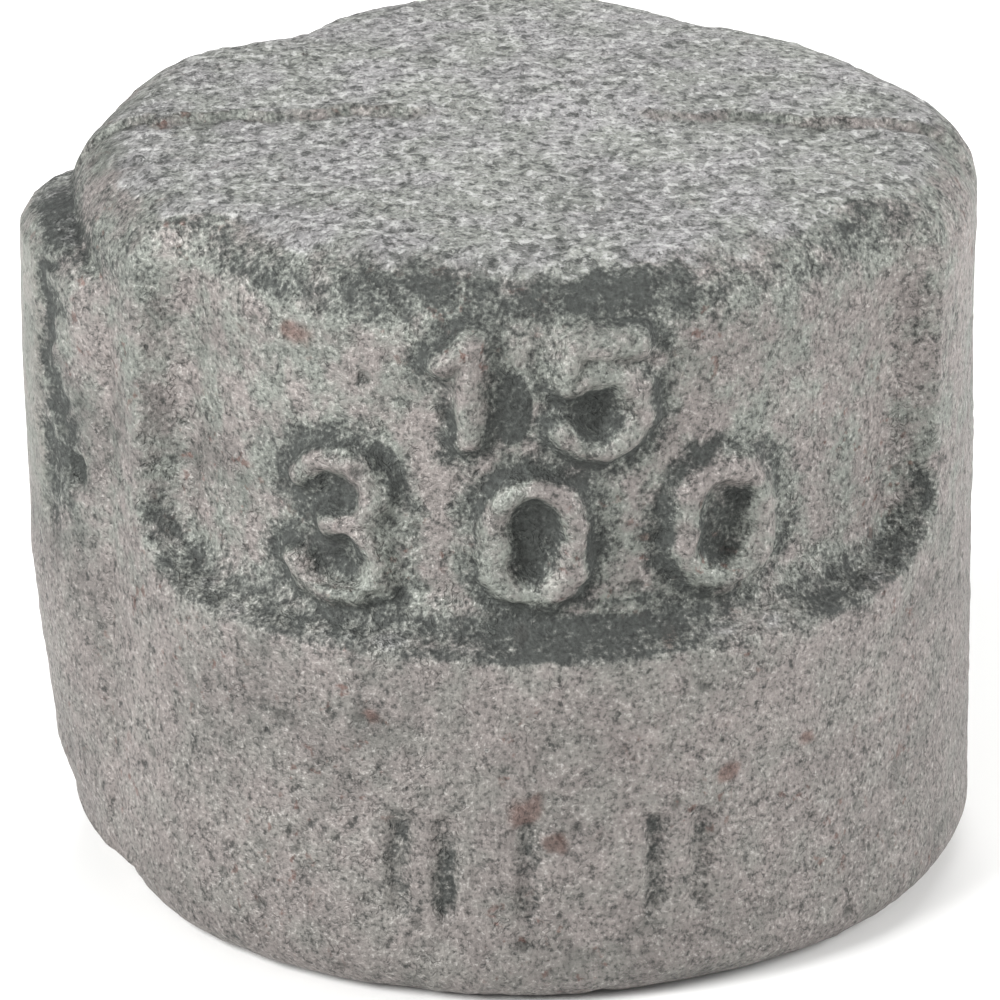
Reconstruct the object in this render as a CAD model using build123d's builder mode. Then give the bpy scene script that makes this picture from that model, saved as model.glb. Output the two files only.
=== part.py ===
"""Half-inch malleable iron pipe cap, Class 300 pattern: one casting with an internal taper pipe thread.

Millimetres. The origin is on the cap's axis at the mouth face, and +Z points to the closed end. The
casting's parting plane is XZ, so the two ribs stand at +X and -X, and the panels between them face
-Y and +Y.
"""

import math
import os

from build123d import *

# Casting, outside
band_diameter = 34.0  # the reinforcing band round the mouth, and the outer face of both ribs
band_height = 14.2  # from the mouth face to the foot of the panels
body_diameter = 31.0  # across the two panels
front_height = 29.1  # mouth face to the middle of the closed end, on the front mould half
crown_radius = 200.0  # the closed end is a very flat dome
shoulder_radius = 3.0
mouth_edge_radius = 1.8
rib_width = 16.6
panel_end_drop = 0.08  # the closed end stands this much lower over the panels than over the ribs
panel_foot_hollow = 0.24  # how deep the slope from the band up to a panel is hollowed
panel_corner_radius = 2.5  # where a rib runs down into the band
parting_step = 0.35  # the back mould half sat this much higher

# Gate stub on the -X rib, left where the runner was broken off
gate_width = 13.0
gate_bottom = 1.0  # where it starts, above the mouth face
gate_foot_slope = 2.6  # height over which it comes out at the bottom
gate_head_slope = 2.0  # and goes back in at the top
gate_top_gap = 2.7  # from its top to the middle of the closed end
gate_stand_foot = 0.8  # how far it stands beyond the rib's face at its foot
gate_stand_head = 1.9

# Taper pipe thread 1/2-14, 60 degrees, right-hand, taper 1 in 16 on the diameter
threads_per_inch = 14
flank_angle = 30.0
mouth_pitch_diameter = 19.772
thread_height_in_pitches = 0.8
full_turns = 8
runout_turns = 2
taper = 1 / 32  # on the radius, for each millimetre of depth
crest_truncation = 0.09  # what the taper reamer leaves off each sharp crest
ream_depth = 16.64  # where the reamed taper runs out into the drilled bore
countersink_margin = 0.2  # beyond the thread's roots at the mouth

# Hollow behind the thread
end_thickness = 4.6
hollow_corner_radius = 2.5

# Raised numerals on the front panel: the nominal size over the pressure class
numeral_relief = 0.9
numeral_stroke = 1.25
numeral_width = 4.1
marks_centre = -0.6
size_mark = "15"
size_mark_height = 4.8
size_mark_rise = 10.0  # middle of the numerals, above the band
size_mark_pitch = 4.8
class_mark = "300"
class_mark_height = 5.5
class_mark_rise = 4.2
class_mark_pitch = 6.9

# Tally bars sunk in the band
tally_depth = 0.25
tally_stroke = 0.9
tally_length = 4.2
tally_level = 5.7
tally_places = (-5.6, -3.9, -0.9, 3.9, 5.6)

# Worked out from the sizes above
band_radius = band_diameter / 2
body_radius = body_diameter / 2
rib_face_end = math.sqrt(band_radius**2 - (rib_width / 2) ** 2)
pitch = 25.4 / threads_per_inch
thread_height = thread_height_in_pitches * pitch
thread_depth = full_turns * pitch
runout_end = thread_depth + runout_turns * pitch
mouth_pitch_radius = mouth_pitch_diameter / 2
mouth_root_radius = mouth_pitch_radius + thread_height / 2
mouth_crest_radius = mouth_pitch_radius - thread_height / 2 + crest_truncation
bore_radius = mouth_crest_radius - taper * ream_depth
hollow_depth = front_height - end_thickness
size_mark_level = band_height + size_mark_rise
class_mark_level = band_height + class_mark_rise
cutter_overlap = 0.015  # how far the thread cutter stands inside the thread's sharp crests
overrun = 2.0  # how far a cutter passes through the face that it cuts


def cast_section(radius, top):
    """Half the section of the casting, turned about Z. top is the height of the dome on the axis."""
    shoulder_start = radius - shoulder_radius
    shoulder_top = top - crown_radius + math.sqrt(crown_radius**2 - shoulder_start**2)
    shoulder_foot = shoulder_top - shoulder_radius
    mouth_edge = band_radius - mouth_edge_radius
    with BuildSketch(Plane.XZ) as section:
        with BuildLine():
            Line((0, top), (0, 0))
            Line((0, 0), (mouth_edge, 0))
            RadiusArc((mouth_edge, 0), (band_radius, mouth_edge_radius), -mouth_edge_radius)
            if radius < band_radius:
                foot_top = band_height + band_radius - radius
                Line((band_radius, mouth_edge_radius), (band_radius, band_height))
                SagittaArc((band_radius, band_height), (radius, foot_top), panel_foot_hollow)
                Line((radius, foot_top), (radius, shoulder_foot))
            else:
                Line((radius, mouth_edge_radius), (radius, shoulder_foot))
            RadiusArc((radius, shoulder_foot), (shoulder_start, shoulder_top), -shoulder_radius)
            RadiusArc((shoulder_start, shoulder_top), (0, top), -crown_radius)
        make_face()
    return section.sketch


def mould_half(side, top):
    """The casting's outside as one mould half makes it. side is -1 for the front and 1 for the back."""
    with BuildPart() as core:
        add(cast_section(body_radius, top - panel_end_drop))
        revolve(axis=Axis.Z)
        Box(band_diameter, rib_width, top + overrun, align=(Align.CENTER, Align.CENTER, Align.MIN))
    with BuildPart() as panel_space:
        with BuildSketch(Plane.XZ) as outline:
            with Locations((0, band_height)):
                Rectangle(2 * rib_face_end, top, align=(Align.CENTER, Align.MIN))
            fillet(outline.vertices().group_by(Axis.Y)[0], panel_corner_radius)
        extrude(amount=-side * band_diameter)
        add(core.part, mode=Mode.SUBTRACT)
    with BuildPart() as half:
        add(cast_section(band_radius, top))
        revolve(axis=Axis.Z)
        add(panel_space.part, mode=Mode.SUBTRACT)
        split(bisect_by=Plane.XZ, keep=Keep.TOP if side < 0 else Keep.BOTTOM)
    return half.part


def gate_section(level, stand):
    """The stub's section at one level: a flat arc beyond the rib's face, closed inside the casting."""
    half_width = gate_width / 2
    edge_x = -math.sqrt(band_radius**2 - half_width**2)
    with BuildSketch(Plane.XY.offset(level)) as section:
        with BuildLine():
            ThreePointArc((edge_x, -half_width), (-band_radius - stand, 0), (edge_x, half_width))
            Line((edge_x, half_width), (edge_x, -half_width))
        make_face()
    return section.sketch


def numeral_lines(digit, centre, level, height):
    """The centre lines of one numeral's strokes."""
    half_width = (numeral_width - numeral_stroke) / 2
    half_height = (height - numeral_stroke) / 2
    bend = 1 - half_width / half_height

    def at(across, up):
        return (centre + across * half_width, level + up * half_height)

    with BuildLine() as strokes:
        if digit == "0":
            ThreePointArc(at(-1, bend), at(0, 1), at(1, bend))
            Line(at(1, bend), at(1, -bend))
            ThreePointArc(at(1, -bend), at(0, -1), at(-1, -bend))
            Line(at(-1, -bend), at(-1, bend))
        elif digit == "1":
            Polyline(at(-0.6, 0.6), at(0.1, 1), at(0.1, -1))
        elif digit == "3":
            ThreePointArc(at(-0.9, 0.8), at(0.85, 0.5), at(-0.2, 0.05))
            ThreePointArc(at(-0.2, 0.05), at(1, -0.5), at(-1, -0.8))
        elif digit == "5":
            Polyline(at(0.9, 1), at(-0.75, 1), at(-0.85, 0.15))
            ThreePointArc(at(-0.85, 0.15), at(1, -0.4), at(-1, -0.85))
    return strokes.line.edges()


def raised_mark(text, level, height, spacing):
    """A row of raised numerals whose faces follow the panel's curve."""
    with BuildPart() as row:
        with BuildSketch(Plane.XZ):
            for place, digit in enumerate(text):
                centre = marks_centre + (place - (len(text) - 1) / 2) * spacing
                for stroke in numeral_lines(digit, centre, level, height):
                    trace(stroke, numeral_stroke)
                    with Locations(stroke @ 0, stroke @ 1):
                        Circle(numeral_stroke / 2)
        extrude(amount=band_radius)
        Cylinder(body_radius + numeral_relief, 2 * front_height, mode=Mode.INTERSECT)
    return row.part


def groove_turn(level, pitch_radius, slope):
    """Cutter for one turn of thread groove. slope is how much it closes in for each millimetre of depth."""
    root = thread_height / 2
    crest = root + cutter_overlap
    flank = math.tan(math.radians(flank_angle))
    root_half = pitch / 4 - root * flank
    crest_half = pitch / 4 + crest * flank
    cone_angle = -math.degrees(math.atan(slope))
    with BuildPart() as cutter:
        with BuildLine() as turn:
            Helix(pitch, pitch, pitch_radius, center=(0, 0, level), cone_angle=cone_angle)
        across = Plane(origin=turn.line @ 0, x_dir=(1, 0, 0), z_dir=turn.line % 0)
        with BuildSketch(across):
            with BuildLine():
                Polyline(
                    (-crest, crest_half),
                    (root, root_half),
                    (root, -root_half),
                    (-crest, -crest_half),
                    close=True,
                )
            make_face()
        sweep(path=turn.line, is_frenet=True)
    return cutter.part


front_half = mould_half(-1, front_height)
back_half = mould_half(1, front_height + parting_step)
size_row = raised_mark(size_mark, size_mark_level, size_mark_height, size_mark_pitch)
class_row = raised_mark(class_mark, class_mark_level, class_mark_height, class_mark_pitch)

gate_top = front_height - gate_top_gap
with BuildPart() as gate_stub:
    add(gate_section(gate_bottom, 0))
    add(gate_section(gate_bottom + gate_foot_slope, gate_stand_foot))
    add(gate_section(gate_top - gate_head_slope, gate_stand_head))
    add(gate_section(gate_top, 0))
    loft(ruled=True)

with BuildPart() as tally_bars:
    with BuildSketch(Plane.XZ):
        with Locations(*[(place, tally_level) for place in tally_places]):
            SlotOverall(tally_length, tally_stroke, rotation=90)
    extrude(amount=2 * band_radius)
    Cylinder(band_radius - tally_depth, 2 * front_height, mode=Mode.SUBTRACT)

countersink_radius = mouth_root_radius + countersink_margin
countersink_depth = countersink_radius - mouth_crest_radius
countersink_end_radius = mouth_crest_radius - taper * countersink_depth
hollow_corner_start = hollow_depth - hollow_corner_radius
hollow_end_radius = bore_radius - hollow_corner_radius
with BuildPart() as hollow:
    with BuildSketch(Plane.XZ):
        with BuildLine():
            Polyline(
                (0, hollow_depth),
                (0, 0),
                (countersink_radius, 0),
                (countersink_end_radius, countersink_depth),
                (bore_radius, ream_depth),
                (bore_radius, hollow_corner_start),
            )
            RadiusArc(
                (bore_radius, hollow_corner_start),
                (hollow_end_radius, hollow_depth),
                -hollow_corner_radius,
            )
            Line((hollow_end_radius, hollow_depth), (0, hollow_depth))
        make_face()
    revolve(axis=Axis.Z)

with BuildPart() as cap_casting:
    add(front_half)
    add(back_half)
    add(gate_stub.part)
    add(size_row)
    add(class_row)
    add(tally_bars.part, mode=Mode.SUBTRACT)
    add(hollow.part, mode=Mode.SUBTRACT)
    for turn_number in range(-1, full_turns):
        depth = turn_number * pitch
        add(groove_turn(depth, mouth_pitch_radius - taper * depth, taper), mode=Mode.SUBTRACT)
    runout_start_radius = mouth_pitch_radius - taper * thread_depth
    runout_fall = runout_start_radius + thread_height / 2 + cutter_overlap - bore_radius
    runout_slope = runout_fall / (runout_turns * pitch)
    for turn_number in range(runout_turns):
        depth = turn_number * pitch
        runout_radius = runout_start_radius - runout_slope * depth
        add(groove_turn(thread_depth + depth, runout_radius, runout_slope), mode=Mode.SUBTRACT)

cap_casting.part.label = "cap_casting"
os.makedirs("parts", exist_ok=True)
export_step(cap_casting.part, "parts/cap_casting.step")
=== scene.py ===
"""Pipe cap, half inch: the detailed casting in the CAD node's place, with camera, light and floor.

The casting is one closed mesh of rings. They run from the middle of the hollow's end, down the
threaded bore, round the mouth, up the outside and over the crown to the middle of the closed end.
Lengths are millimetres until the mesh is made.
"""

import itertools
import math

import bpy
import numpy as np
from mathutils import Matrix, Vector


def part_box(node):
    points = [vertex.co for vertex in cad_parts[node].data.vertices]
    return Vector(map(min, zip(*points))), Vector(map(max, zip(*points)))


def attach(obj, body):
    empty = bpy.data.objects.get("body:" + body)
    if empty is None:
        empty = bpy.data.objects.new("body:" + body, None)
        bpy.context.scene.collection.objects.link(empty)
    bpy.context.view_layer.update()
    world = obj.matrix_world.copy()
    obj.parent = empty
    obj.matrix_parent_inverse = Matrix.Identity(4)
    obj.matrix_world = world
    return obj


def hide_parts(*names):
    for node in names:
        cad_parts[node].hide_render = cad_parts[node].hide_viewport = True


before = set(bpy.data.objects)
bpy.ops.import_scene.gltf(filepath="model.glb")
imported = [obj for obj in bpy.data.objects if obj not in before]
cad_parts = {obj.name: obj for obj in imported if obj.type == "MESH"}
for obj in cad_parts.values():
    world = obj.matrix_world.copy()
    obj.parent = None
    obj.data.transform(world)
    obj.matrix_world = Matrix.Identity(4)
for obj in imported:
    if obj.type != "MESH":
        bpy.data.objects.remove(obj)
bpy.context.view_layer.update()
MM = 0.001

# ---------------------------------------------------------------- sizes, the same as the CAD's
node_low, node_high = (np.array(corner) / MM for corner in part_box("cap_casting"))
BAND_RADIUS = node_high[0]
BACK_HEIGHT = node_high[2]
GATE_STAND_HEAD = -node_low[0] - BAND_RADIUS
BODY_RADIUS = 15.5
BAND_HEIGHT = 14.2
PARTING_STEP = 0.35
FRONT_HEIGHT = BACK_HEIGHT - PARTING_STEP
CROWN_RADIUS = 200.0
SHOULDER_RADIUS = 3.0
MOUTH_EDGE_RADIUS = 1.8
RIB_HALF_WIDTH = 8.3
PANEL_CORNER_RADIUS = 2.5
PANEL_FOOT_HOLLOW = 0.24
LEDGE = BAND_RADIUS - BODY_RADIUS
RIB_FACE_END = math.sqrt(BAND_RADIUS**2 - RIB_HALF_WIDTH**2)

GATE_HALF_WIDTH = 6.5
GATE_HALF_ANGLE = 0.36
GATE_SIDE_DROP = 1.4
GATE_LEVELS = (1.9, 4.2, 12.0, 20.0, 24.9, 25.6, 26.0, 26.25, 26.6, 27.0)
GATE_STANDS = (0, 0.8, 1.65, GATE_STAND_HEAD, GATE_STAND_HEAD, 1.5, 0.9, -0.5, -5, -20)
GATE_EDGE = 3.5
BLOWHOLE = (-17.1, -5.0, 17.0)
BURR = (-17.9, 0.9, 25.1)

PITCH = 25.4 / 14
THREAD_HALF_HEIGHT = 0.4 * PITCH
PITCH_RADIUS = 9.886
TAPER = 1 / 32
CREST_CUT = 0.09
ROOT_HALF = PITCH / 4 - THREAD_HALF_HEIGHT * math.tan(math.radians(30))
THREAD_END = 8 * PITCH
RUNOUT_END = 10 * PITCH
REAM_DEPTH = 16.64
COUNTERSINK_RADIUS = PITCH_RADIUS + THREAD_HALF_HEIGHT + 0.2
BORE_RADIUS = PITCH_RADIUS - THREAD_HALF_HEIGHT + CREST_CUT - TAPER * REAM_DEPTH
HOLLOW_DEPTH = 24.5
HOLLOW_CORNER = 2.5

MARKS_CENTRE = -0.6
RELIEF = 0.9
STROKE = 1.25
NUMERAL_WIDTH = 4.1
MARK_ROWS = (("15", 24.2, 4.8, 4.8), ("300", 18.4, 5.5, 6.9))  # text, level, height, spacing
TALLY_DEPTH = 0.25
TALLY_STROKE = 0.9
TALLY_HALF_LENGTH = 1.65
TALLY_LEVEL = 5.7
TALLY_PLACES = (-5.6, -3.9, -0.9, 3.9, 5.6)


# Rust on the front: x, z and radius. Dirt and painted shade inside the numerals: x, z, half width
# and half height.
RUST_SPOTS = (
    (-9.1, 25.4, 0.6),
    (-1.1, 14.9, 0.28),
    (-0.9, 8.1, 0.8),
    (0.2, 6.9, 0.5),
    (6.6, 8.9, 0.45),
    (4.3, 14.6, 0.35),
    (9.6, 9.5, 0.35),
    (-6.5, 11.5, 0.4),
)
DIRT_AND_SHADE_POOLS = (
    (1.7, 23.1, 1.1, 1.2),
    (-7.7, 17.3, 1.2, 1.1),
    (-8.0, 19.6, 1.0, 0.9),
    (-0.6, 18.4, 1.0, 1.9),
    (6.3, 18.4, 1.0, 1.9),
    (-1.4, 23.6, 0.8, 1.6),
)

FULL = 800  # vertices round the outside
HALF = FULL // 2  # and round the bore
ROW_GAP = 0.135  # between rings up the wall
UV_SPAN = 108.0  # millimetres that the UV map covers


# ---------------------------------------------------------------- small numeric helpers
def ease(low, high, value):
    """0 below low, 1 above high, smooth between them."""
    part = np.clip((value - low) / (high - low), 0, 1)
    return part * part * (3 - 2 * part)


def soft_max(a, b, blend):
    side = np.clip(0.5 + 0.5 * (a - b) / blend, 0, 1)
    return b + (a - b) * side + blend * side * (1 - side)


def soft_min(a, b, blend):
    return -soft_max(-a, -b, blend)


def bump_at(value, centre, width):
    return np.exp(-(((value - centre) / width) ** 2))


TURN = np.array([[0.36, 0.48, -0.8], [-0.8, 0.6, 0.0], [0.48, 0.64, 0.6]])


def noise(points, size, seed, octaves=1):
    """Smooth noise, about -1 to 1, whose features are about size across."""
    table = np.random.default_rng(seed).uniform(-1, 1, (64, 64, 64)).astype(np.float32)
    total, strength = np.zeros(len(points), np.float32), 1.0
    for _ in range(octaves):
        points = points @ TURN.T + 7.3
        scaled = points / size
        cell = np.floor(scaled).astype(np.int64)
        part = (scaled - cell).astype(np.float32)
        part = part * part * (3 - 2 * part)
        for corner in itertools.product((0, 1), repeat=3):
            index = (cell + corner) & 63
            weight = np.ones(len(points), np.float32)
            for axis in range(3):
                weight *= part[:, axis] if corner[axis] else 1 - part[:, axis]
            total += strength * weight * table[index[:, 0], index[:, 1], index[:, 2]]
        size, strength = size / 2.03, strength * 0.55
    return total


def cells(points, size, seed):
    """Distance to the nearest and to the next random point, over size, and the nearest's label."""
    table = np.random.default_rng(seed).uniform(0, 1, (32, 32, 32, 4)).astype(np.float32)
    scaled = (points @ TURN.T / size).astype(np.float32)
    cell = np.floor(scaled).astype(np.int64)
    part = scaled - cell
    near = np.full(len(points), 9.0, np.float32)
    second = near.copy()
    label = np.zeros(len(points), np.float32)
    for shift in itertools.product((-1, 0, 1), repeat=3):
        index = (cell + shift) & 31
        found = table[index[:, 0], index[:, 1], index[:, 2]]
        gap = np.sqrt(((np.array(shift) + found[:, :3] - part) ** 2).sum(1))
        closer = gap < near
        second = np.where(closer, near, np.minimum(second, gap))
        label = np.where(closer, found[:, 3], label)
        near = np.where(closer, gap, near)
    return near, second, label


# ---------------------------------------------------------------- the casting's sections
def height_of_end(x, y):
    """Height of the closed end on the axis, for the mould half that a place lies in."""
    middle = bump_at(x, 0.6, 3.4)
    wander = 0.16 * np.sin(1.3 * x + 0.4) + 0.1 * np.sin(3.1 * x)
    width = 0.16 + 1.5 * middle
    from_line = y + 0.65 + 0.085 * x + wander * (1 - 0.5 * middle)
    return FRONT_HEIGHT + PARTING_STEP * ease(-width, width, from_line)


def shoulder_at(theta):
    """The shoulder's radius: the back mould half's is rounder, most of all near its two corners."""
    back = ease(-1.0, 6.0, BAND_RADIUS * np.sin(theta))
    corners = 2.4 * bump_at(theta, 0.75, 0.42) + 1.9 * bump_at(theta, 2.34, 0.22)
    return SHOULDER_RADIUS + 1.5 * back + corners


def body_radius_at(z):
    """Radius of the panels' surface, with the hollowed slope down to the band."""
    part = np.clip((z - BAND_HEIGHT) / LEDGE, -1, 2)
    inside = np.clip(part, 0, 1)
    slope = BAND_RADIUS - LEDGE * part - 5.2 * PANEL_FOOT_HOLLOW * inside * (1 - inside)
    return soft_max(soft_min(BAND_RADIUS, slope, 0.45), BODY_RADIUS, 0.5)


def rib_share(theta, body, rib, x_out, z):
    """0 on a panel and 1 on a rib or beyond a panel's rounded corners."""
    flat = RIB_HALF_WIDTH / np.maximum(np.abs(np.sin(theta)), 1e-6)
    gap = np.maximum(rib - body, 1e-4)
    scale = np.clip(gap / LEDGE, 0.001, 1)
    soften = 1 + 1.1 * ease(23.5, 28.0, z)
    side = soft_min(soft_max(body, flat, 1.1 * soften * scale), rib, 0.6 * soften**1.3 * scale)
    share = np.clip((side - body) / gap, 0, 1)
    corner_x = np.abs(x_out) - (RIB_FACE_END - PANEL_CORNER_RADIUS)
    corner_z = BAND_HEIGHT + PANEL_CORNER_RADIUS - z
    beyond = np.hypot(np.maximum(corner_x, 0), np.maximum(corner_z, 0)) - PANEL_CORNER_RADIUS
    beyond = np.where((corner_x > 0) & (corner_z > 0), beyond, -9)
    return np.maximum(share, ease(-0.75, 0.15, beyond))


def gate_reach(theta, z):
    """Radius of the gate stub's outer face. Its head is lower towards the sides."""
    away = theta - math.pi
    z = z + GATE_SIDE_DROP * (away / GATE_HALF_ANGLE) ** 2 * ease(20, 25, z)
    signed = np.interp(z, GATE_LEVELS, GATE_STANDS)
    stand = np.maximum(signed, 0)
    edge = math.sqrt(BAND_RADIUS**2 - GATE_HALF_WIDTH**2)
    rise = BAND_RADIUS + stand - edge
    curve = (GATE_HALF_WIDTH**2 + rise**2) / (2 * rise)
    centre = BAND_RADIUS + stand - curve
    beside = ease(GATE_HALF_ANGLE, GATE_HALF_ANGLE + 0.1, np.abs(away))
    hidden = 3 * beside + 20 * (np.abs(away) > 0.6)
    reach = centre * np.cos(away) + np.sqrt(np.maximum(curve**2 - (centre * np.sin(away)) ** 2, 0))
    return reach + np.minimum(signed, 0) - hidden


def thread_radius(theta, z):
    """Radius of the bore with its helical groove."""
    across = (z / PITCH - theta / (2 * math.pi) + 0.5) % 1 - 0.5
    middle = z - across * PITCH
    pitch_radius = PITCH_RADIUS - TAPER * middle
    fall = PITCH_RADIUS - TAPER * THREAD_END + THREAD_HALF_HEIGHT + 0.015 - BORE_RADIUS
    pitch_radius -= np.clip(middle - THREAD_END, 0, None) * (fall / (2 * PITCH) - TAPER)
    flank = np.clip(np.abs(across) * PITCH - ROOT_HALF, 0, None) / math.tan(math.radians(30))
    groove = pitch_radius + THREAD_HALF_HEIGHT - flank
    crest = np.maximum(PITCH_RADIUS - THREAD_HALF_HEIGHT + CREST_CUT - TAPER * z, BORE_RADIUS)
    return soft_max(soft_max(groove, crest, 0.05), COUNTERSINK_RADIUS - 1.03 * z, 0.06)


def arc(first, middle, last, steps=9):
    """Points along the circle through three places."""
    (ax, ay), (bx, by), (cx, cy) = first, middle, last
    d = 2 * (ax * (by - cy) + bx * (cy - ay) + cx * (ay - by))
    sa, sb, sc = ax**2 + ay**2, bx**2 + by**2, cx**2 + cy**2
    ux = (sa * (by - cy) + sb * (cy - ay) + sc * (ay - by)) / d
    uy = (sa * (cx - bx) + sb * (ax - cx) + sc * (bx - ax)) / d
    radius = math.hypot(ax - ux, ay - uy)
    start, mid, end = (math.atan2(y - uy, x - ux) for x, y in (first, middle, last))
    turn = (end - start) % math.tau
    if (mid - start) % math.tau > turn:
        turn -= math.tau
    spins = start + turn * np.linspace(0, 1, steps)
    return [(ux + radius * math.cos(a), uy + radius * math.sin(a)) for a in spins]


def numeral_lines(digit, centre, level, height):
    """Polylines in x and z along the middle of a numeral's strokes."""
    half_width = (NUMERAL_WIDTH - STROKE) / 2
    half_height = (height - STROKE) / 2
    bend = 1 - half_width / half_height

    def at(across, up):
        return (centre + across * half_width, level + up * half_height)

    if digit == "0":
        upper = arc(at(-1, bend), at(0, 1), at(1, bend))
        lower = arc(at(1, -bend), at(0, -1), at(-1, -bend))
        return [upper + lower + upper[:1]]
    if digit == "1":
        return [[at(-0.6, 0.6), at(0.1, 1), at(0.1, -1)]]
    if digit == "3":
        upper = arc(at(-0.9, 0.8), at(0.85, 0.5), at(-0.2, 0.05))
        return [upper + arc(at(-0.2, 0.05), at(1, -0.5), at(-1, -0.8))]
    bowl = arc(at(-0.85, 0.15), at(1, -0.4), at(-1, -0.85))
    return [[at(0.9, 1), at(-0.75, 1), at(-0.85, 0.15)] + bowl]


def distance_to(lines, x, z):
    """Distance in the xz plane to the nearest of some polylines."""
    nearest = np.full(len(x), 99.0)
    for line in lines:
        for (ax, az), (bx, bz) in zip(line, line[1:]):
            dx, dz = bx - ax, bz - az
            along = ((x - ax) * dx + (z - az) * dz) / max(dx * dx + dz * dz, 1e-9)
            along = np.clip(along, 0, 1)
            nearest = np.minimum(nearest, np.hypot(x - ax - along * dx, z - az - along * dz))
    return nearest


# ---------------------------------------------------------------- rings of the lathe mesh
END, BORE, MOUTH, OUTSIDE, CROWN = range(5)


def angles(count):
    return np.arange(count) * (2 * math.pi / count)


def ring(count, radius, z, zone):
    theta = angles(count)
    radius = np.broadcast_to(radius, count)
    place = np.stack([radius * np.cos(theta), radius * np.sin(theta), np.broadcast_to(z, count)], 1)
    return place, zone


def outer_ring(theta, body, rib, body_z, rib_z):
    """One ring of the outside, from the panel's and the rib's profile at the same station."""
    x_out = BAND_RADIUS * np.cos(theta)
    share = rib_share(theta, body, rib, x_out, rib_z)
    radius = body + share * (rib - body)
    z = body_z + share * (rib_z - body_z)
    radius = soft_max(radius, gate_reach(theta, z), 0.4)
    return np.stack([radius * np.cos(theta), radius * np.sin(theta), z], 1), OUTSIDE


def dome_fall(radius):
    """How far the domed end lies below its middle."""
    return CROWN_RADIUS - np.sqrt(CROWN_RADIUS**2 - radius**2)


rings = []
count = 25
radius = 0.3
while radius < BORE_RADIUS - HOLLOW_CORNER:
    rings.append(ring(count, radius, HOLLOW_DEPTH, END))
    if 2 * math.pi * radius / count > 0.17 and count < HALF:
        count *= 2
    radius += max(0.12, 2 * math.pi * radius / count)
if count != HALF:
    raise SystemExit("the hollow's end has too few rings")
for angle in np.linspace(math.pi / 2, 0, 20):
    radius = BORE_RADIUS - HOLLOW_CORNER + HOLLOW_CORNER * math.cos(angle)
    rings.append(ring(HALF, radius, HOLLOW_DEPTH - HOLLOW_CORNER * (1 - math.sin(angle)), END))
for z in np.linspace(HOLLOW_DEPTH - HOLLOW_CORNER, RUNOUT_END + 0.9, 16)[1:]:
    rings.append(ring(HALF, BORE_RADIUS, z, BORE))
for z in np.arange(RUNOUT_END + 0.8, 0.02, -0.1):
    rings.append(ring(HALF, thread_radius(angles(HALF), z), z, BORE))
for radius in np.linspace(COUNTERSINK_RADIUS, 12.2, 8):
    rings.append(ring(HALF, radius, 0, MOUTH))
for radius in np.linspace(12.4, BAND_RADIUS - MOUTH_EDGE_RADIUS, 18):
    rings.append(ring(FULL, radius, 0, MOUTH))
theta = angles(FULL)
for angle in np.linspace(0, math.pi / 2, 20)[1:]:
    radius = BAND_RADIUS - MOUTH_EDGE_RADIUS * (1 - math.sin(angle))
    z = MOUTH_EDGE_RADIUS * (1 - math.cos(angle))
    radius = soft_max(np.full(FULL, radius), gate_reach(theta, z), 0.4) if z > 1 else radius
    radius = radius - 1.35 * bump_at(theta, math.pi, 0.5) * bump_at(z, 1.35, 1.35)
    rings.append(ring(FULL, radius, z, OUTSIDE))

lift = height_of_end(BAND_RADIUS * np.cos(theta), BAND_RADIUS * np.sin(theta)) - FRONT_HEIGHT
shoulder = shoulder_at(theta)
rib_fall = dome_fall(BAND_RADIUS - shoulder)
body_fall = dome_fall(BODY_RADIUS - shoulder)
wall_top = FRONT_HEIGHT + lift - rib_fall - shoulder
common_top = FRONT_HEIGHT - dome_fall(BAND_RADIUS - SHOULDER_RADIUS) - SHOULDER_RADIUS
wall_rows = round((common_top - MOUTH_EDGE_RADIUS) / ROW_GAP)
for z in np.linspace(MOUTH_EDGE_RADIUS, common_top, wall_rows)[1:]:
    level = z + (wall_top - common_top) * ease(BAND_HEIGHT + 2, common_top, z)
    rings.append(outer_ring(theta, body_radius_at(level), np.full(FULL, BAND_RADIUS), level, level))
for angle in np.linspace(0, math.pi / 2, 36)[1:-1]:
    inward, up = shoulder * (1 - math.cos(angle)), shoulder * (math.sin(angle) - 1)
    top = FRONT_HEIGHT + lift + up
    body, rib = BODY_RADIUS - inward, BAND_RADIUS - inward
    rings.append(outer_ring(theta, body, rib, top - body_fall, top - rib_fall))
share, count = 1.0, FULL
while share * BAND_RADIUS > 0.5:
    theta = angles(count)
    body = share * (BODY_RADIUS - shoulder_at(theta))
    rib = share * (BAND_RADIUS - shoulder_at(theta))
    top = height_of_end(rib * np.cos(theta), rib * np.sin(theta))
    place, _ = outer_ring(theta, body, rib, top - dome_fall(body), top - dome_fall(rib))
    rings.append((place, CROWN))
    gap = 2 * math.pi * share * (BAND_RADIUS - SHOULDER_RADIUS) / count
    if gap < 0.075 and count > 25:
        count //= 2
    share -= max(0.13, gap) / (BAND_RADIUS - SHOULDER_RADIUS)

points = np.concatenate([place for place, _ in rings])
zone = np.concatenate([np.full(len(place), kind) for place, kind in rings])
starts = np.cumsum([0] + [len(place) for place, _ in rings])
sizes = [len(place) for place, _ in rings]
first_pole, last_pole = len(points), len(points) + 1
end_top = float(height_of_end(np.array(0.0), np.array(0.0)))
points = np.concatenate([points, [[0, 0, HOLLOW_DEPTH], [0, 0, end_top]]])
zone = np.concatenate([zone, [END, CROWN]])


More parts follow.
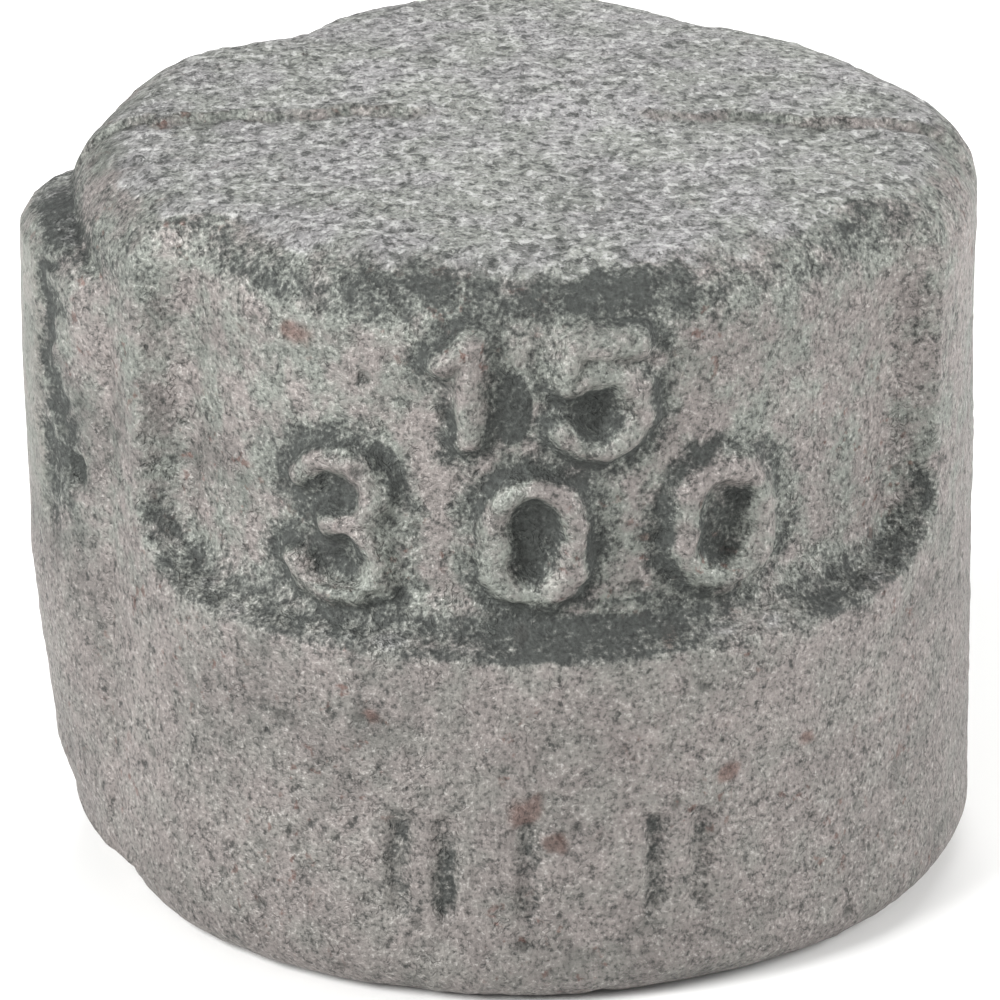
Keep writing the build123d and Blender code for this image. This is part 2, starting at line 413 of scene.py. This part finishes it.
def faces_between(start, size, after, next_size):
    """Corners of the faces from one ring to the next, of the same size, half of it or double."""
    here, there = np.arange(size), np.arange(next_size)
    if size == next_size:
        turn = (here + 1) % size
        return [(start + here, start + turn, after + turn, after + here)]
    if next_size == 2 * size:
        a, b = start + here, start + (here + 1) % size
        c, d, e = after + 2 * here, after + 2 * here + 1, after + (2 * here + 2) % next_size
        return [(a, d, c), (a, b, d), (b, e, d)]
    a, b = after + there, after + (there + 1) % next_size
    c, d, e = start + 2 * there, start + 2 * there + 1, start + (2 * there + 2) % size
    return [(c, d, a), (d, b, a), (d, e, b)]


quads, triangles, quad_strip, triangle_strip = [], [], [], []
for strip, (start, after, size, next_size) in enumerate(zip(starts, starts[1:], sizes, sizes[1:])):
    for corners in faces_between(start, size, after, next_size):
        faces, strips = (quads, quad_strip) if len(corners) == 4 else (triangles, triangle_strip)
        faces.append(np.stack(corners, 1))
        strips.append(np.full(len(corners[0]), strip + 1))
here = np.arange(sizes[0])
triangles.append(np.stack([np.full(sizes[0], first_pole), (here + 1) % sizes[0], here], 1))
triangle_strip.append(np.zeros(sizes[0], int))
here = np.arange(sizes[-1])
last = starts[-2]
pole = np.full(sizes[-1], last_pole)
triangles.append(np.stack([last + here, last + (here + 1) % sizes[-1], pole], 1))
triangle_strip.append(np.full(sizes[-1], len(rings) - 1))
quads, triangles = np.concatenate(quads), np.concatenate(triangles)
strip_of_face = np.concatenate(quad_strip + triangle_strip)

# Distance along the profile to each ring, for the UV map
few = [place[:: len(place) // 25] for place, _ in rings]
gaps = [np.linalg.norm(b - a, axis=1).mean() for a, b in zip(few, few[1:])]
along = np.cumsum([np.linalg.norm(few[0][:, :2], axis=1).mean()] + gaps)
whole = along[-1] + np.linalg.norm(few[-1][:, :2], axis=1).mean()
vertex_along = np.concatenate([np.repeat(along, sizes), [0, whole]])
vertex_theta = np.concatenate([angles(size) for size in sizes] + [[0, 0]])
kind_of_ring = np.array([kind for _, kind in rings])
first_of = {kind: along[np.argmax(kind_of_ring == kind)] for kind in (BORE, MOUTH, OUTSIDE)}


def map_places(vertex, kind):
    """UV places in millimetres for faces' corners: flat strips for walls and discs for the rest."""
    theta, reach = vertex_theta[vertex], vertex_along[vertex]
    seam = (theta.max(1) - theta.min(1) > math.pi)[:, None] & (theta < math.pi)
    turned = theta + math.tau * seam
    if kind == OUTSIDE:
        return turned * BAND_RADIUS, reach - first_of[OUTSIDE] + 1
    if kind == BORE:
        return turned * (BORE_RADIUS + 0.5), reach - first_of[BORE] + 35
    radius, (u, v) = {
        END: (reach, (75, 49)),
        MOUTH: (COUNTERSINK_RADIUS + reach - first_of[MOUTH], (17, 82)),
        CROWN: (whole - reach, (52, 82)),
    }[kind]
    return u + radius * np.cos(theta), v + radius * np.sin(theta)


def make_mesh(name, vertices):
    """A mesh of the rings' faces, in metres."""
    mesh = bpy.data.meshes.new(name)
    mesh.vertices.add(len(vertices))
    mesh.vertices.foreach_set("co", (vertices * MM).astype(np.float32).ravel())
    corners = np.concatenate([quads.ravel(), triangles.ravel()]).astype(np.int32)
    counts = np.concatenate([np.full(len(quads), 4), np.full(len(triangles), 3)]).astype(np.int32)
    mesh.loops.add(len(corners))
    mesh.loops.foreach_set("vertex_index", corners)
    mesh.polygons.add(len(counts))
    mesh.polygons.foreach_set("loop_start", (np.cumsum(counts) - counts).astype(np.int32))
    mesh.polygons.foreach_set("use_smooth", np.ones(len(counts), bool))
    mesh.update(calc_edges=True)
    kind = kind_of_ring[strip_of_face]
    across = []
    for faces, kinds in ((quads, kind[: len(quads)]), (triangles, kind[len(quads) :])):
        places = np.zeros(faces.shape + (2,))
        for one in (END, BORE, MOUTH, OUTSIDE, CROWN):
            chosen = kinds == one
            if chosen.any():
                places[chosen] = np.stack(map_places(faces[chosen], one), -1)
        across.append(places.reshape(-1, 2))
    layer = mesh.uv_layers.new(name="OFBake")
    layer.uv.foreach_set("vector", (np.concatenate(across) / UV_SPAN).astype(np.float32).ravel())
    return mesh


def normals_of(vertices):
    """The outward direction at each vertex, from its faces."""
    total = np.zeros_like(vertices)
    for faces in (quads, triangles):
        a, b, c = (vertices[faces[:, k]] for k in range(3))
        d = vertices[faces[:, -1]]
        across = np.cross(c - a, d - b) if faces.shape[1] == 4 else np.cross(b - a, c - a)
        for k in range(faces.shape[1]):
            for axis in range(3):
                total[:, axis] += np.bincount(faces[:, k], across[:, axis], len(vertices))
    return total / np.maximum(np.linalg.norm(total, axis=1, keepdims=True), 1e-12)


# ---------------------------------------------------------------- relief, and what the sand left
normals = normals_of(points)
x, y, z = points.T.copy()
spin_from_left = np.abs(np.arctan2(y, -x))
outside = zone >= OUTSIDE
front = outside & (y < -4)
raise_by = np.zeros(len(points))

panel = front & (z > BAND_HEIGHT) & (z < 28.2) & (np.abs(x) < 12)
marks = []
for text, level, height, spacing in MARK_ROWS:
    for place, digit in enumerate(text):
        centre = MARKS_CENTRE + (place - (len(text) - 1) / 2) * spacing
        marks += numeral_lines(digit, centre, level, height)
wobble = 0.17 * noise(points[panel], 0.95, 11) + 0.1 * noise(points[panel], 0.4, 12)
mark_distance = np.full(len(points), 99.0)
mark_distance[panel] = distance_to(marks, x[panel], z[panel]) + wobble
mark_face = 1 - ease(0.05, STROKE / 2 + 0.34, mark_distance)
worn = 0.86 + 0.14 * noise(points, 1.7, 14)
raise_by += RELIEF * mark_face * worn

band = front & (z < BAND_HEIGHT - 1)
tally_ends = (TALLY_LEVEL - TALLY_HALF_LENGTH, TALLY_LEVEL + TALLY_HALF_LENGTH)
bars = [[(place, level) for level in tally_ends] for place in TALLY_PLACES]
bar_distance = np.full(len(points), 99.0)
bar_distance[band] = distance_to(bars, x[band], z[band]) + 0.08 * noise(points[band], 0.5, 13)
bar_floor = 1 - ease(0.15, TALLY_STROKE / 2 + 0.18, bar_distance)
raise_by -= TALLY_DEPTH * bar_floor

# The gate's broken face with a ragged edge, a blowhole beside it and a burr on its top
stub = (x < -15.5) * ease(13.0, 16.0, z) * ease(25.3, 24.7, z)
past_edge = np.abs(y) - GATE_EDGE - 0.8 * noise(points, 0.9, 41, 2)
crack = stub * bump_at(past_edge, 0.2, 0.9) * ease(-0.55, -0.1, noise(points, 1.3, 42))
strip = stub * ease(0.1, -0.8, past_edge)
from_hole = points - np.array(BLOWHOLE) + 0.12 * noise(points, 0.5, 43)[:, None]
hole = ease(0.8, 0.3, np.linalg.norm(from_hole * np.array([1, 1, 0.8]), axis=1))
burr = ease(0.55, 0.1, np.linalg.norm(points - np.array(BURR), axis=1))
raise_by += 0.22 * burr - 0.24 * crack - 0.45 * hole

rough = np.where(outside, 1.0 - 0.75 * strip, np.where(zone == MOUTH, 0.12, 0.05))
facing_up = normals[:, 2] + 0.09 * noise(points, 1.3, 8, 3)
crown = outside * ease(0.8, 0.93, facing_up)
swell = 0.075 * noise(points, 6.0, 1) + 0.045 * noise(points, 2.4, 2)
sand = 0.024 * noise(points, 0.85, 3, 2) + 0.018 * noise(points, 0.42, 4)
warp = np.stack([noise(points, 0.7, k) for k in (31, 32, 33)], 1)
near, second, label = cells(points + 0.22 * warp, 0.7, 5)
plates = (label - 0.5) * ease(0.02, 0.2, second - near)
grain = crown * (0.085 * plates + 0.035 * noise(points, 0.36, 9))
lumps = 0.022 * (1 - ease(0.15, 0.6, near)) * (label - 0.35)
pit_near, _, pit_label = cells(points, 1.5, 6)
pits = (pit_label > 0.72) * (1 - ease(0.1, 0.26, pit_near + 0.05 * noise(points, 0.4, 7)))
relief = swell + sand + grain + lumps - 0.1 * pits
raise_by += rough * relief - 0.05 * outside

points = points + normals * raise_by[:, None]
low, high = node_low + 0.004, node_high - 0.004
low[2] = 0
points = np.clip(points, low, high)

mesh = make_mesh("cap_casting_detailed", points)


def add_numbers(name, values):
    layer = mesh.attributes.new(name, "FLOAT", "POINT")
    layer.data.foreach_set("value", np.clip(values, -1, 1).astype(np.float32))


# Dirt and painted shade: darker under the shoulder, at the panel's foot and corners, round the
# marks, in the tally bars, the notch, the gate's crack and the blowhole
x, y, z = points.T
reach = np.hypot(x, y)
corner_x = np.abs(x) - (RIB_FACE_END - PANEL_CORNER_RADIUS)
corner_z = BAND_HEIGHT + PANEL_CORNER_RADIUS - z
rounded = PANEL_CORNER_RADIUS - np.hypot(corner_x, corner_z)
inside = np.minimum(RIB_FACE_END - np.abs(x), z - BAND_HEIGHT)
inside = np.where((corner_x > 0) & (corner_z > 0), rounded, inside)
ragged = np.abs(y) + 0.5 * noise(points, 1.2, 24, 2)
on_panel = outside * ease(RIB_HALF_WIDTH - 1.0, RIB_HALF_WIDTH + 0.5, ragged)
cloud = noise(points, 2.6, 21, 3)
edge = inside + 0.25 * noise(points, 0.9, 22, 2)
low_down = 0.1 + 0.9 * ease(19.5, 16.5, z + 0.5 * cloud)
along_foot = 0.45 + 0.4 * bump_at(x, 0.6, 5.0) + 0.35 * bump_at(np.abs(x), 14.0, 3.0)
# Dirt with painted shade in the crease at the panel's foot and in its rounded corners
foot = on_panel * ease(-0.2, 0.3, edge) * ease(2.7, 0.7, edge + 0.6 * cloud)
foot *= low_down * (along_foot + 0.35 * noise(points, 1.6, 23, 2))
# Dirt and painted shade on the shoulder, picked by how much the surface faces up
shoulder_dirt_and_shade = outside * ease(0.05, 0.55, facing_up) * ease(0.99, 0.72, facing_up)
shoulder_dirt_and_shade *= (0.4 + 0.6 * on_panel) * (0.72 + 0.6 * front * bump_at(x, 0.5, 4.5))
# Dirt and painted shade in the crease round the numerals' raised strokes and in their counters
around = ease(2.2, 0.6, mark_distance + 0.5 * cloud) * ease(0.25, 0.7, mark_distance)
pools = np.zeros(len(points))
for px, pz, wide, high in DIRT_AND_SHADE_POOLS:
    pools = np.maximum(pools, ease(1.1, 0.7, np.hypot((x - px) / wide, (z - pz) / high)))
pools *= front * ease(0.2, 0.5, mark_distance)
blotch = ease(-0.35, 0.3, cloud + 0.3 * noise(points, 0.8, 25))
around_marks = np.maximum(around * (0.6 + 0.4 * blotch), pools)
# Painted shade in the notch above the gate
notch = bump_at(spin_from_left, 0.06, 0.34) * bump_at(z, 25.9, 1.3) * ease(18.6, 17.9, reach)
# Dirt and painted shade along the step at the edge of the gate's broken face
edge_dirt_and_shade = 0.5 * stub * bump_at(past_edge, 0.5, 0.7)
foot *= 0.65 + 0.35 * blotch
# The sunk tally bars' floors get dirt and painted shade
dirt_and_shade = [foot, 0.75 * shoulder_dirt_and_shade, around_marks, 0.6 * bar_floor, 0.9 * notch, edge_dirt_and_shade]
dirt_and_shade = np.clip(np.maximum.reduce(dirt_and_shade) * (0.9 + 0.5 * cloud), 0, 1)
# Painted shade in the gate's crack and in the blowhole
dirt_and_shade = np.maximum.reduce([dirt_and_shade, crack, hole])
rust = np.zeros(len(points))
fuzz = 0.35 * noise(points, 0.5, 26, 2)
for px, pz, size in RUST_SPOTS:
    rust = np.maximum(rust, ease(1.1, 0.5, np.hypot(x - px, z - pz) / size + fuzz))
add_numbers("dirt_and_shade", dirt_and_shade)
add_numbers("rust", rust * front)
# Painted shade: 'hollow' marks the low places of the surface's relief, which the material darkens
add_numbers("hollow", np.clip(-(relief - 0.5 * swell) / 0.09, -1, 1) * outside)
add_numbers("crown", crown)
add_numbers("machined", np.where(outside, 0, np.where(zone == MOUTH, 0.75, 1)))
add_numbers("strip", strip)
add_numbers("turned", vertex_along / 100)

cap = bpy.data.objects.new("cap_casting_detailed", mesh)
bpy.context.scene.collection.objects.link(cap)
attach(cap, "root")
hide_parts("cap_casting")


# ---------------------------------------------------------------- materials
class Graph:
    """A material's nodes, made one call at a time."""

    def __init__(self, name):
        self.material = bpy.data.materials.new(name)
        self.material.use_nodes = True
        self.tree = self.material.node_tree
        self.shader = self.tree.nodes["Principled BSDF"]
        self.place = self.make("TexCoord").outputs["Object"]

    def make(self, kind, **settings):
        made = self.tree.nodes.new("ShaderNode" + kind)
        for name, value in settings.items():
            setattr(made, name, value)
        return made

    def put(self, socket, value):
        if isinstance(value, bpy.types.NodeSocket):
            self.tree.links.new(value, socket)
        else:
            socket.default_value = value

    def number(self, name):
        return self.make("Attribute", attribute_name=name).outputs["Fac"]

    def maths(self, operation, *values, clamp=False):
        made = self.make("Math", operation=operation, use_clamp=clamp)
        for socket, value in zip(made.inputs, values):
            self.put(socket, value)
        return made.outputs[0]

    def noise(self, size, detail=2.0, rough=0.5, shift=0.0, stretch=(1, 1, 1)):
        spot = self.make("Mapping")
        self.put(spot.inputs["Vector"], self.place)
        spot.inputs["Location"].default_value = (shift, shift * 0.7, -shift)
        spot.inputs["Scale"].default_value = [1 / (size * MM) * s for s in stretch]
        made = self.make("TexNoise")
        self.put(made.inputs["Vector"], spot.outputs["Vector"])
        made.inputs["Scale"].default_value = 1.0
        made.inputs["Detail"].default_value = detail
        made.inputs["Roughness"].default_value = rough
        return made.outputs["Fac"]

    def cracks(self, size, width, shift, low, high):
        """Short winding lines: where one noise crosses its middle, within patches of another."""
        from_middle = self.maths("SUBTRACT", self.noise(size, 1.5, 0.5, shift), 0.5)
        away = self.maths("ABSOLUTE", from_middle)
        patches = self.span(self.noise(2.2 * size, 2, 0.5, shift + 3.3), low, high)
        return self.maths("MULTIPLY", self.span(away, width, 0.0), patches)

    def span(self, value, low, high, to_low=0.0, to_high=1.0):
        made = self.make("MapRange", interpolation_type="SMOOTHSTEP")
        for socket, item in zip(made.inputs, (value, low, high, to_low, to_high)):
            self.put(socket, item)
        return made.outputs[0]

    def mix(self, share, first, second, blend="MIX"):
        made = self.make("Mix", data_type="RGBA", blend_type=blend)
        self.put(made.inputs["Factor"], share)
        colours = [s for s in made.inputs if s.type == "RGBA"]
        self.put(colours[0], first)
        self.put(colours[1], second)
        return [s for s in made.outputs if s.type == "RGBA"][0]


def grey(red, green, blue):
    """A colour from its shades on a 0 to 255 screen scale."""
    return [((v / 255 + 0.055) / 1.055) ** 2.4 for v in (red, green, blue)] + [1.0]


g = Graph("zinc_coated_iron")
dirt_and_shade_share, relief_hollow_shade = g.number("dirt_and_shade"), g.number("hollow")
crown_share, machined = g.number("crown"), g.number("machined")

strip_share, turned_place = g.number("strip"), g.number("turned")

# Pinkish and greenish patches, then the grain of the sand, painted shade in the relief's hollows,
# then rust, and dirt with painted shade
height_up = g.make("SeparateXYZ")
g.put(height_up.inputs[0], g.place)
band_edge = ((BAND_HEIGHT - 2) * MM, (BAND_HEIGHT + 2) * MM)
above_band = g.span(height_up.outputs["Z"], *band_edge, 0.4, 1.0)
greener = g.maths("MULTIPLY_ADD", dirt_and_shade_share, 0.2, g.noise(1.7, 4, 0.6, 3.1))
patch = g.maths("MULTIPLY", g.span(greener, 0.4, 0.66), above_band)
zinc = g.mix(patch, grey(131, 125, 122), grey(124, 127, 121))
crown_patch = g.span(g.noise(2.5, 3, 0.5, 9.0), 0.35, 0.65)
crown_tint = g.mix(crown_patch, grey(132, 134, 129), grey(138, 137, 137))
zinc = g.mix(crown_share, zinc, crown_tint)
sandy = g.noise(0.17, 2, 0.6, 1.7)
coarse = g.noise(0.4, 4, 0.62, 5.5, (1, 1, 0.8))
broad = g.noise(4.5, 2, 0.5, 2.9)
shade = g.maths("MULTIPLY_ADD", sandy, 1.3, 0.35)
shade = g.maths("MULTIPLY", shade, g.maths("MULTIPLY_ADD", coarse, 1.2, 0.4))
shade = g.maths("MULTIPLY", shade, g.maths("MULTIPLY_ADD", broad, 0.5, 0.75))
shade = g.maths("MULTIPLY", shade, g.maths("MULTIPLY_ADD", above_band, 0.12, 0.88))
zinc = g.mix(1.0, zinc, shade, "MULTIPLY")
gaps = g.span(sandy, 0.43, 0.33, 0, 0.4)
zinc = g.mix(gaps, zinc, grey(50, 52, 50))
pits = g.span(coarse, 0.41, 0.3, 0, 0.75)
zinc = g.mix(pits, zinc, grey(44, 46, 44))
bright = g.span(sandy, 0.6, 0.7, 0, 0.4)
zinc = g.mix(bright, zinc, grey(184, 182, 178))
# Painted shade in the relief's hollows
hollow_painted_shade = g.span(relief_hollow_shade, 0.0, 0.9, 0, 0.55)
zinc = g.mix(hollow_painted_shade, zinc, grey(58, 60, 57))
flaky = g.noise(0.42, 3, 0.6, 1.3)
crown_gaps = g.maths("MULTIPLY", g.span(flaky, 0.45, 0.36, 0, 0.75), crown_share)
zinc = g.mix(crown_gaps, zinc, grey(48, 50, 48))
flecks = g.maths("MULTIPLY", g.span(flaky, 0.55, 0.64, 0, 0.6), crown_share)
zinc = g.mix(flecks, zinc, grey(196, 196, 194))
worms = g.cracks(0.36, 0.07, 2.6, 0.52, 0.62)
zinc = g.mix(g.maths("MULTIPLY", worms, 0.35), zinc, grey(44, 46, 44))
zinc = g.mix(g.maths("MULTIPLY", strip_share, 0.35), zinc, grey(134, 137, 129))
rust_area = g.span(g.noise(5, 1, 0.5, 6.1), 0.5, 0.6)
rust_area = g.maths("MULTIPLY", rust_area, g.maths("MULTIPLY_ADD", crown_share, -0.8, 1.0))
rust = g.maths("MULTIPLY", g.span(g.noise(0.55, 3, 0.55, 4.4), 0.6, 0.7, 0, 0.65), rust_area)
rust = g.maths("MAXIMUM", rust, g.maths("MULTIPLY", g.number("rust"), 0.6))
zinc = g.mix(rust, zinc, g.mix(1.0, grey(92, 62, 54), shade, "MULTIPLY"))
# Dirt with painted shade in corners, creases, recesses and the crack: a darker, textured grey mixed
# in
dirt_and_shade_cloud = g.maths("MULTIPLY_ADD", g.noise(0.6, 4, 0.7, 7.7), 2.2, -1.1)
dirt_and_shade_mix = g.maths("MULTIPLY_ADD", sandy, -1.2, g.maths("ADD", dirt_and_shade_share, dirt_and_shade_cloud))
dirt_and_shade_mix = g.span(dirt_and_shade_mix, -0.6, 0.32, 0, 0.94)
dirt_and_shade_tone = g.maths("MULTIPLY", shade, g.maths("MULTIPLY_ADD", sandy, 1.0, 0.45))
dirt_and_shade_colour = g.mix(1.0, grey(54, 57, 55), dirt_and_shade_tone, "MULTIPLY")
zinc = g.mix(dirt_and_shade_mix, zinc, dirt_and_shade_colour)
tool_marks = g.make("TexNoise", noise_dimensions="1D")
g.put(tool_marks.inputs["W"], turned_place)
tool_marks.inputs["Scale"].default_value = 700.0
tool_marks = tool_marks.outputs["Fac"]
iron = g.mix(tool_marks, grey(112, 110, 106), grey(150, 148, 143))
iron = g.mix(g.span(g.noise(1.5, 4, 0.6, 3.0), 0.55, 0.7, 0, 0.5), iron, grey(96, 80, 68))
g.put(g.shader.inputs["Base Color"], g.mix(machined, zinc, iron))

roughness = g.maths("MULTIPLY_ADD", coarse, 0.25, 0.42)
roughness = g.maths("MULTIPLY_ADD", dirt_and_shade_mix, 0.2, roughness)
roughness = g.maths("MULTIPLY_ADD", machined, -0.16, roughness, clamp=True)
g.put(g.shader.inputs["Roughness"], roughness)
metal = g.maths("MULTIPLY_ADD", dirt_and_shade_mix, -0.3, 0.5)
g.put(g.shader.inputs["Metallic"], g.maths("MULTIPLY_ADD", machined, 0.3, metal, clamp=True))

height = g.maths("MULTIPLY_ADD", sandy, 0.8, g.maths("MULTIPLY", coarse, 0.75))
height = g.maths("MULTIPLY_ADD", g.maths("MULTIPLY", flaky, crown_share), 1.8, height)
height = g.maths("MULTIPLY_ADD", worms, -0.3, height)
height = g.maths("MULTIPLY", height, g.maths("MULTIPLY_ADD", strip_share, -0.35, 1.0))
height = g.maths("MULTIPLY", height, g.maths("MULTIPLY_ADD", machined, -0.9, 1.0))
height = g.maths("MULTIPLY_ADD", g.maths("MULTIPLY", tool_marks, machined), 0.25, height)
bump = g.make("Bump")
bump.inputs["Strength"].default_value = 1.0
bump.inputs["Distance"].default_value = 0.11 * MM
g.put(bump.inputs["Height"], height)
g.put(g.shader.inputs["Normal"], bump.outputs["Normal"])
mesh.materials.append(g.material)

f = Graph("pale_floor")
floor_tint = f.mix(f.noise(40, 2), grey(244, 244, 243), grey(248, 248, 247))
f.put(f.shader.inputs["Base Color"], floor_tint)
f.shader.inputs["Roughness"].default_value = 0.8
floor_mesh = bpy.data.meshes.new("floor")
edge = [(math.cos(a), math.sin(a), 0) for a in angles(64)]
floor_mesh.from_pydata([(1.5 * px, 1.5 * py, 0) for px, py, _ in edge], [], [range(64)])
floor_mesh.materials.append(f.material)
floor = bpy.data.objects.new("floor", floor_mesh)
bpy.context.scene.collection.objects.link(floor)
floor.location.z = -0.00002


# ---------------------------------------------------------------- camera and light
# The camera fitted to the photo: degrees, millimetres, and what it looks at, to the right and up
CAMERA_AZIMUTH, CAMERA_ELEVATION = -3.5, 23.6
CAMERA_DISTANCE = 414.5
CAMERA_LENS, CAMERA_SENSOR = 394.5, 36
TARGET_RIGHT, TARGET_UP = -0.884, 13.19


def facing(azimuth, elevation):
    """The direction from the object to a place. Azimuth 0 is in front of it and 90 to its right."""
    a, e = math.radians(azimuth), math.radians(elevation)
    return Vector((math.sin(a) * math.cos(e), -math.cos(a) * math.cos(e), math.sin(e)))


camera_data = bpy.data.cameras.new("camera")
camera = bpy.data.objects.new("camera", camera_data)
bpy.context.scene.collection.objects.link(camera)
back = facing(CAMERA_AZIMUTH, CAMERA_ELEVATION)
right = Vector((0, 0, 1)).cross(back).normalized()
target = Vector((0, 0, TARGET_UP * MM)) + right * TARGET_RIGHT * MM
camera.location = target + back * CAMERA_DISTANCE * MM
camera.rotation_mode = "QUATERNION"
camera.rotation_quaternion = (-back).to_track_quat("-Z", "Y")
camera_data.sensor_width = CAMERA_SENSOR
camera_data.lens = CAMERA_LENS
camera_data.clip_start = 0.02
bpy.context.scene.camera = camera

world = bpy.data.worlds.new("studio")
bpy.context.scene.world = world
world.use_nodes = True
world.node_tree.nodes["Background"].inputs["Color"].default_value = (1, 1, 1, 1)
world.node_tree.nodes["Background"].inputs["Strength"].default_value = 0.3


def panel_light(name, azimuth, elevation, distance, width, height, power):
    """An area light, its distance and size in metres, that faces the object."""
    data = bpy.data.lights.new(name, "AREA")
    data.shape = "RECTANGLE"
    data.size, data.size_y = width, height
    data.energy = power
    light = bpy.data.objects.new(name, data)
    bpy.context.scene.collection.objects.link(light)
    direction = facing(azimuth, elevation)
    light.location = Vector((0, 0, 0.012)) + direction * distance
    light.rotation_mode = "QUATERNION"
    light.rotation_quaternion = (-direction).to_track_quat("-Z", "Y")


panel_light("key", -58, 34, 0.6, 0.32, 0.32, 5.5)
panel_light("fill", 84, 26, 0.7, 0.35, 0.35, 4.8)
panel_light("back", 165, 42, 0.7, 0.4, 0.4, 2.6)

view = bpy.context.scene.view_settings
view.view_transform = "Standard"
view.look = "None"
